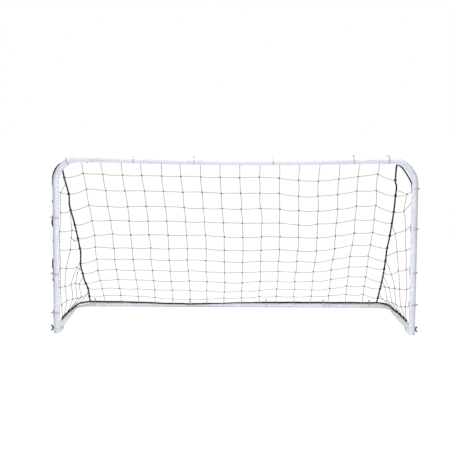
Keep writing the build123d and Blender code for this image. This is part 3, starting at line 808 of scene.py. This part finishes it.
# Turns of black twine lashing the net to the seam rope at each row, top to foot
LASHINGS = {
    "left": (1.5, 3.5, 2.0, 2.0, 2.5, 2.5, 3.0, 2.5, 1.5, 2.0, 2.0),
    "right": (3.0, 4.5, 2.5, 2.0, 4.0, 2.5, 4.0, 2.5, 2.0, 2.5, 2.0),
}
seam_paths = {side: curve(points, ROPE_STEP) for side, points in SEAM_POINTS.items()}


def seam_rope(side):
    path = seam_paths[side]
    strands = Strands()
    strands.rope(path, (1, 0, 0), swell=1.08)
    for number, (row_end, turns) in enumerate(zip(ROW_ENDS[side], LASHINGS[side])):
        at, along = nearest(path, row_end)
        start = number * 2.1
        strands.hitch(at - 0.004 * along, along, turns, start, gap=0.0027, spread=0.0014)
    return strands.mesh(f"{side}_seam_rope_braid", ROPE)


seam_ropes = [seam_rope(side) for side in seam_paths]


# ---------------------------------------------------------------------------
# Net cords
# ---------------------------------------------------------------------------
def slack(start, end, dip, aside):
    """A cord between two points: hangs by dip at the middle, and wanders aside."""
    start, end = np.asarray(start, float), np.asarray(end, float)
    t = np.linspace(0, 1, 10)[:, None]
    hang = 4 * t * (1 - t) * np.array([0, 0, -dip])
    return start + (end - start) * t + hang + np.sin(math.pi * t) * np.asarray(aside)


def chain(points, dips, asides):
    """Cords through a row of knots as one evenly sampled path."""
    spans = [slack(*span) for span in zip(points[:-1], points[1:], dips, asides)]
    joined = np.vstack([spans[0]] + [span[1:] for span in spans[1:]])
    return resample(joined, CORD_STEP)


def wobble(mm):
    return rng.uniform(-mm, mm) / 1000


# ---------------------------------------------------------------------------
# Back panel
# ---------------------------------------------------------------------------
# The drape's shape, top to foot: mm back from the hoop, height in mm
DRAPE = np.array([
    (21, 858), (59, 793), (86, 711), (116, 629), (153, 551), (194, 474), (236, 398),
    (288, 329), (343, 261), (400, 196), (462, 135), (528, 79), (598, 28),
], float)
# Knots, one list for each upright cord from left to right, top to foot: x and height in mm
BACK_KNOTS = np.array([
    [(-770, 806), (-758, 724), (-751, 639), (-742, 553), (-734, 472), (-736, 404),
     (-737, 329), (-739, 258), (-735, 194), (-732, 137), (-732, 82)],
    [(-670, 803), (-660, 716), (-653, 633), (-644, 555), (-639, 481), (-638, 397),
     (-641, 328), (-638, 264), (-636, 200), (-634, 137), (-635, 86)],
    [(-572, 799), (-562, 715), (-552, 631), (-549, 553), (-545, 474), (-542, 398),
     (-542, 330), (-542, 261), (-537, 197), (-535, 134), (-538, 78)],
    [(-474, 797), (-462, 716), (-457, 634), (-450, 553), (-449, 476), (-442, 400),
     (-446, 330), (-442, 260), (-441, 192), (-439, 128), (-443, 70)],
    [(-373, 795), (-366, 715), (-359, 632), (-353, 554), (-349, 474), (-347, 395),
     (-349, 325), (-346, 256), (-344, 188), (-343, 127), (-344, 59)],
    [(-277, 793), (-267, 710), (-262, 628), (-256, 550), (-252, 474), (-249, 396),
     (-252, 328), (-248, 259), (-244, 192), (-243, 125), (-246, 58)],
    [(-176, 791), (-169, 711), (-164, 626), (-157, 551), (-153, 475), (-150, 396),
     (-152, 323), (-152, 252), (-147, 187), (-148, 124), (-150, 58)],
    [(-77, 790), (-71, 705), (-66, 625), (-59, 546), (-54, 467), (-53, 389),
     (-53, 317), (-51, 246), (-49, 181), (-51, 115), (-52, 68)],
    [(22, 788), (28, 707), (32, 622), (40, 544), (43, 464), (46, 387),
     (45, 315), (46, 249), (47, 180), (46, 124), (47, 71)],
    [(121, 792), (126, 708), (132, 627), (141, 545), (142, 468), (143, 391),
     (144, 322), (144, 255), (145, 190), (144, 127), (147, 81)],
    [(222, 787), (225, 708), (231, 624), (233, 547), (239, 468), (239, 394),
     (239, 323), (240, 259), (240, 193), (241, 139), (243, 85)],
    [(321, 777), (324, 693), (329, 615), (332, 536), (336, 466), (337, 386),
     (338, 323), (338, 254), (337, 191), (339, 137), (342, 81)],
    [(422, 773), (424, 694), (429, 613), (430, 542), (434, 463), (436, 387),
     (434, 317), (432, 257), (435, 196), (438, 133), (440, 87)],
    [(525, 784), (524, 703), (528, 625), (528, 548), (530, 475), (532, 401),
     (529, 336), (527, 269), (533, 207), (536, 145), (538, 90)],
    [(622, 797), (621, 722), (625, 642), (623, 567), (627, 492), (623, 423),
     (619, 355), (622, 289), (626, 227), (626, 163), (634, 102)],
    [(720, 811), (720, 725), (724, 646), (723, 568), (723, 497), (720, 425),
     (716, 358), (719, 291), (722, 225), (724, 162), (731, 102)],
], float)
# x in mm where each upright cord meets the crossbar's rope and the ground rope
TOPS = [-775, -677, -575, -476, -372, -279, -177, -76, 20, 121, 220, 323, 425, 524, 626, 723]
FEET = [-737, -640, -543, -447, -346, -247, -151, -53, 48, 150, 247, 348, 445, 546, 647, 744]
LOOSE_UPRIGHTS = (8, 9, 10, 11)

heights = BACK_KNOTS[..., 1]
drape_back = np.interp(heights, DRAPE[::-1, 1], DRAPE[::-1, 0])
grid = np.stack([BACK_KNOTS[..., 0] / 1000, HOOP_Y + drape_back / 1000, heights / 1000], -1)
COLUMNS, ROWS = grid.shape[:2]


def back_uprights():
    strands = Strands()
    for c in range(COLUMNS):
        x = TOPS[c] / 1000
        top_z = CROSSBAR_Z - float(sag(x)) - BAR_ROPE_DROP
        top = np.array([x, HOOP_Y + BAR_ROPE_BACK, top_z])
        foot, foot_along = nearest(ground_path, (FEET[c] / 1000, 0.293, 0.035))
        strands.hitch(top, (1, 0, 0), turns=2.25, start=c * 1.7)
        strands.hitch(foot, foot_along, turns=2.25, start=c * 2.3)
        top_end = top + (0, 0.001, -ROPE_RADIUS)
        foot_end = foot + (0, -0.0012, ROPE_RADIUS * 0.9)
        sway = 3.2 if c in LOOSE_UPRIGHTS else 2.0
        asides = [(wobble(sway), wobble(1.5), 0) for _ in range(ROWS + 1)]
        path = chain([top_end, *grid[c], foot_end], [0.0] * (ROWS + 1), asides)
        strands.cord(path, (1, 0, 0), phase=c)
    return strands


def back_rows():
    strands = Strands()
    for r in range(ROWS):
        left, left_along = nearest(seam_paths["left"], ROW_ENDS["left"][r])
        right, right_along = nearest(seam_paths["right"], ROW_ENDS["right"][r])
        strands.hitch(left, left_along, turns=2.0, start=r)
        strands.hitch(right, right_along, turns=2.0, start=r * 1.3)
        points = [left + (ROPE_RADIUS, 0, 0), *grid[:, r], right - (ROPE_RADIUS, 0, 0)]
        # the spans on the right hang lower; the two end spans have a fixed dip
        dips = [
            rng.uniform(-0.0020, 0.0036) + (0.0022 if k > 10 else 0.0) for k in range(COLUMNS + 1)
        ]
        dips[0] = dips[-1] = 0.004
        asides = [(0, wobble(2.5), 0) for _ in range(COLUMNS + 1)]
        strands.cord(chain(points, dips, asides), (0, 0, 1), phase=r)
    return strands


def back_knots():
    knots = Knots()
    for c in range(COLUMNS):
        for r in range(ROWS):
            flat_y = unit(grid[c, max(0, r - 1)] - grid[c, min(ROWS - 1, r + 1)])
            flat_x = unit(np.array([1.0, 0, 0]) - flat_y[0] * flat_y)
            knots.tie(grid[c, r], flat_x, flat_y)
    return knots


# ---------------------------------------------------------------------------
# Side panels
# ---------------------------------------------------------------------------
# Each cord is a list of knots (x, back from the hoop, height) and of ends on a rope: "post" and
# "seam" with a height, "ground" with a distance back from the hoop. All in mm.
# Rows come first, top to foot, then uprights, front to back.
SIDE_CORDS = {
    "right": [
        [("post", 725), (868, 33, 711), ("seam", 694)],
        [("post", 678), (858, 56, 623), ("seam", 609)],
        [("post", 559), (868, 49, 526), (833, 138, 498), ("seam", 475)],
        [("post", 443), (871, 50, 423), (844, 140, 401), ("seam", 358)],
        [("post", 346), (874, 51, 323), (853, 143, 302), (838, 245, 262), ("seam", 250)],
        [("post", 240), (878, 42, 223), (861, 137, 207), (850, 212, 196), (836, 298, 182),
         (826, 365, 174), ("seam", 160)],
        [("post", 140), (876, 62, 129), (868, 127, 116), (858, 212, 109), (850, 278, 105),
         (839, 359, 97), (831, 440, 88), ("seam", 84)],
        [("seam", 728), (868, 33, 711), (858, 56, 623), (868, 49, 526), (871, 50, 423),
         (874, 51, 323), (878, 42, 223), (876, 62, 129), ("ground", 140)],
        [("seam", 540), (833, 138, 498), (844, 140, 401), (853, 143, 302), (861, 137, 207),
         (868, 127, 116), ("ground", 165)],
        [("seam", 335), (838, 245, 262), (850, 212, 196), (858, 212, 109), ("ground", 225)],
        [("seam", 232), (836, 298, 182), (850, 278, 105), ("ground", 300)],
        [("seam", 196), (826, 365, 174), (839, 359, 97), ("ground", 372)],
        [("seam", 110), (831, 440, 88), ("ground", 452)],
    ],
    "left": [
        [("post", 735), (-884, 51, 708), ("seam", 695)],
        [("post", 640), (-886, 62, 604), ("seam", 606)],
        [("post", 545), (-892, 60, 509), (-845, 150, 503), ("seam", 492)],
        [(-849, 152, 463), (-839, 176, 446), ("seam", 440)],
        [("post", 440), (-894, 64, 413), (-855, 154, 401), ("seam", 392)],
        [("post", 340), (-895, 80, 316), (-876, 145, 305), (-839, 262, 290), ("seam", 262)],
        [("post", 240), (-897, 88, 215), (-883, 146, 210), (-865, 221, 205), (-850, 280, 201),
         (-840, 332, 185), ("seam", 169)],
        [("post", 140), (-893, 95, 122), (-879, 179, 129), (-862, 262, 118), (-849, 330, 108),
         (-837, 395, 102), ("seam", 98)],
        [("seam", 752), (-884, 51, 708), (-886, 62, 604), (-892, 60, 509), (-894, 64, 413),
         (-895, 80, 316), (-897, 88, 215), (-893, 95, 122), ("ground", 152)],
        [("seam", 620), (-845, 150, 503), (-849, 152, 463), (-855, 154, 401), (-876, 145, 305),
         (-883, 146, 210), (-879, 179, 129), ("ground", 190)],
        [("seam", 310), (-839, 262, 290), (-865, 221, 205), (-862, 262, 118), ("ground", 270)],
        [("seam", 285), (-843, 300, 250), (-850, 280, 201), (-849, 330, 108), ("ground", 345)],
        [("seam", 215), (-840, 332, 185), (-837, 395, 102), ("ground", 420)],
        [("seam", 120), (-832, 450, 84), ("ground", 480)],
    ],
}
SIDE_SIGN = {"left": -1, "right": 1}
POST_ROPE_X = {"left": -0.915, "right": 0.888}
LEVEL_DROP = 0.12                       # a cord that falls less than this is a row


def rope_end(side, kind, mm):
    """Where a side cord's end meets a rope, and the rope's direction there."""
    if kind == "post":
        return nearest(mouth_path, (POST_ROPE_X[side], HOOP_Y + 0.016, mm / 1000))
    if kind == "seam":
        path = seam_paths[side]
        return nearest(path, path[int(np.argmin(np.abs(path[:, 2] - mm / 1000)))])
    return nearest(ground_path, (SIDE_SIGN[side] * POST_X, HOOP_Y + mm / 1000, 0.038))


def side_panel(side):
    cords, knots, tied = Strands(), Knots(), {}
    for number, cord in enumerate(SIDE_CORDS[side]):
        points = []
        for stop in cord:
            if isinstance(stop[0], str):
                at, along = rope_end(side, *stop)
                cords.hitch(at, along, turns=1.75, start=number * 1.1)
            else:
                at = tied[stop] = from_hoop([stop])[0]
            points.append(at)
        # end each cord near its rope's surface, not in the middle
        for end, inner in ((0, 1), (-1, -2)):
            if isinstance(cord[end][0], str):
                inwards = unit(points[inner] - points[end])
                points[end] = points[end] + inwards * ROPE_RADIUS * 0.9
        spans = len(points) - 1
        if abs(points[0][2] - points[-1][2]) < LEVEL_DROP:
            # short spans dip less
            dips = [
                rng.uniform(0.001, 0.006)
                * min(1, np.linalg.norm(points[i + 1] - points[i]) / 0.09)
                for i in range(spans)
            ]
            reference = (0, 0, 1)
        else:
            dips = [0.0] * spans
            reference = (0.9, 0.43, 0)
        asides = [(wobble(2.0), wobble(2.5), 0) for _ in range(spans)]
        cords.cord(chain(points, dips, asides), reference, phase=number)
    for at in tied.values():
        knots.tie(at, unit((SIDE_SIGN[side] * 0.2, 1.0, 0)), np.array([0, 0, 1.0]))
    return cords, knots


# All are shaped before any is meshed, as the order sets the random draws
uprights, rows, knots = back_uprights(), back_rows(), back_knots()
panels = {side: side_panel(side) for side in SIDE_CORDS}
net_uprights = uprights.mesh("back_net_uprights", CORD)
net_rows = rows.mesh("back_net_rows", CORD)
net_knots = knots.mesh("back_net_knots", KNOT_SHADED)
left_cords, right_cords = [
    panels[side][0].mesh(f"{side}_side_net_cords", CORD) for side in ("left", "right")
]
left_knots, right_knots = [
    panels[side][1].mesh(f"{side}_side_net_knots", KNOT_SHADED) for side in ("left", "right")
]

# ---------------------------------------------------------------------------
# What rides on what: the ropes on the hoop and the base frame; the net is baked in place, its fold
# shares worked out but not used
# ---------------------------------------------------------------------------
coarse_ground = ground_path[:: max(1, int(0.008 / ROPE_STEP))]


def fold_share(points):
    """0 on the hoop, 1 on the base frame, by angle round the hinge line between them."""
    angle = np.degrees(np.arctan2(points[:, 1] - PIVOT_Y, points[:, 2] - PIVOT_Z))
    share = np.clip((angle + 1.5) / 91.0, 0, 1)
    # low points near the ground rope go with it; in batches, to save memory
    low = np.where(points[:, 2] < 0.100)[0]
    for k in range(0, len(low), 4000):
        batch = low[k:k + 4000]
        offsets = points[batch][:, None, :] - coarse_ground[None]
        distance = np.sqrt((offsets**2).sum(2)).min(1)
        near = smoothstep(np.clip((0.050 - distance) / 0.040, 0, 1))
        share[batch] = np.maximum(share[batch], near)
    return share


def hang(ob):
    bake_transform(ob)
    points = np.zeros(len(ob.data.vertices) * 3)
    ob.data.vertices.foreach_get("co", points)
    share = fold_share(points.reshape(-1, 3)).astype(np.float32)


net = (net_uprights, net_rows, net_knots, left_cords, right_cords, left_knots, right_knots)
for ob in (*net, *seam_ropes):
    hang(ob)
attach(mouth_rope, "hoop")
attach(ground_rope, "base_frame")

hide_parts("mouth_rope")
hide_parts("ground_rope")
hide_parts("left_seam_rope")
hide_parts("right_seam_rope")
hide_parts("back_net")
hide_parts("left_side_net")
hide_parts("right_side_net")

# ---------------------------------------------------------------------------
# Floor, light, camera
# ---------------------------------------------------------------------------
scene = bpy.context.scene
scene.view_settings.view_transform = "Standard"
scene.view_settings.look = "None"
scene.view_settings.exposure = 0.0
scene.view_settings.gamma = 1.0


def floor_material():
    """Pale floor; the camera sees it almost burnt out to white, like a studio sweep."""
    n = Material("floor_pale")
    cloud = n.noise(n.coords(), scale=1.3, detail=2)
    n.set(
        Base_Color=n.ramp(cloud, ((0.86, 0.86, 0.865), (0.90, 0.90, 0.90))),
        Roughness=0.9,
        Specular_IOR_Level=0.1,
    )
    burnt = n.add("ShaderNodeEmission", Color=(1, 1, 1), Strength=1.075)
    seen = n.add("ShaderNodeLightPath").outputs["Is Camera Ray"]
    share = n.math("MULTIPLY", seen, 0.93)
    output = next(node for node in n.tree.nodes if node.type == "OUTPUT_MATERIAL")
    shader = n.mix_shaders(share, n.principled.outputs[0], burnt.outputs[0])
    n.feed(output.inputs["Surface"], shader)
    return n.material


floor_mesh = bpy.data.meshes.new("floor")
floor_corners = [(-30, -30, 0), (30, -30, 0), (30, 40, 0), (-30, 40, 0)]
floor_mesh.from_pydata(floor_corners, [], [(0, 1, 2, 3)])
floor = bpy.data.objects.new("floor", floor_mesh)
floor.location.z = -0.0005
scene.collection.objects.link(floor)
floor_mesh.materials.append(floor_material())


def studio_world():
    """White to the camera, a dim cool fill for everything else."""
    world = bpy.data.worlds.new("studio")
    scene.world = world
    n = Nodes(world)
    n.tree.nodes.clear()
    output = n.add("ShaderNodeOutputWorld")
    seen = n.add("ShaderNodeBackground", Color=(1, 1, 1), Strength=1.0)
    fill = n.add("ShaderNodeBackground", Color=(0.93, 0.96, 1.0), Strength=0.22)
    camera_ray = n.add("ShaderNodeLightPath").outputs["Is Camera Ray"]
    n.feed(output.inputs[0], n.mix_shaders(camera_ray, fill.outputs[0], seen.outputs[0]))


def aimed_area(name, at, aim, size, power, colour):
    light = bpy.data.lights.new(name, "AREA")
    light.shape = "RECTANGLE"
    light.size, light.size_y = size
    light.energy = power
    light.color = colour
    ob = bpy.data.objects.new(name, light)
    ob.location = at
    ob.rotation_mode = "QUATERNION"
    ob.rotation_quaternion = (Vector(aim) - Vector(at)).to_track_quat("-Z", "Y")
    scene.collection.objects.link(ob)


# name, place, aim, size (m), power (W), colour
LIGHTS = (
    ("front_soft", (0.0, -3.4, 1.5), (0, -0.2, 0.45), (1.5, 1.2), 36, (0.98, 0.99, 1.0)),
    ("front_low", (0.0, -3.2, 0.35), (0, -0.2, 0.35), (1.3, 0.5), 9, (0.98, 0.99, 1.0)),
    ("inner_top_soft", (0.0, 0.35, 1.8), (0, 0.2, 0.0), (1.0, 0.6), 13, (1.0, 1.0, 0.98)),
    ("top_soft", (0.0, -0.6, 3.0), (0, -0.1, 0.5), (1.7, 1.4), 60, (1.0, 1.0, 1.0)),
)


def add_camera(place, yaw, pitch, roll):
    """A camera looking towards +y; the angles, in radians, turn it right, down and over."""
    data = bpy.data.cameras.new("camera")
    camera = bpy.data.objects.new("camera", data)
    scene.collection.objects.link(camera)
    level = math.cos(pitch)
    forward = Vector((math.sin(yaw) * level, math.cos(yaw) * level, -math.sin(pitch)))
    right = Vector((math.cos(yaw), -math.sin(yaw), 0))
    up = right.cross(forward)
    rolled_right = math.cos(roll) * right + math.sin(roll) * up
    rolled_up = -math.sin(roll) * right + math.cos(roll) * up
    turn = Matrix((rolled_right, rolled_up, -forward)).transposed().to_4x4()
    camera.matrix_world = Matrix.Translation(place) @ turn
    data.sensor_width = 36.0
    data.lens = 70.6
    data.shift_y = -0.092
    data.clip_start, data.clip_end = 0.05, 200
    scene.camera = camera


studio_world()
for light in LIGHTS:
    aimed_area(*light)
add_camera(place=(-0.0698, -4.7123, 1.1065), yaw=0.0039, pitch=0.0780, roll=0.0058)
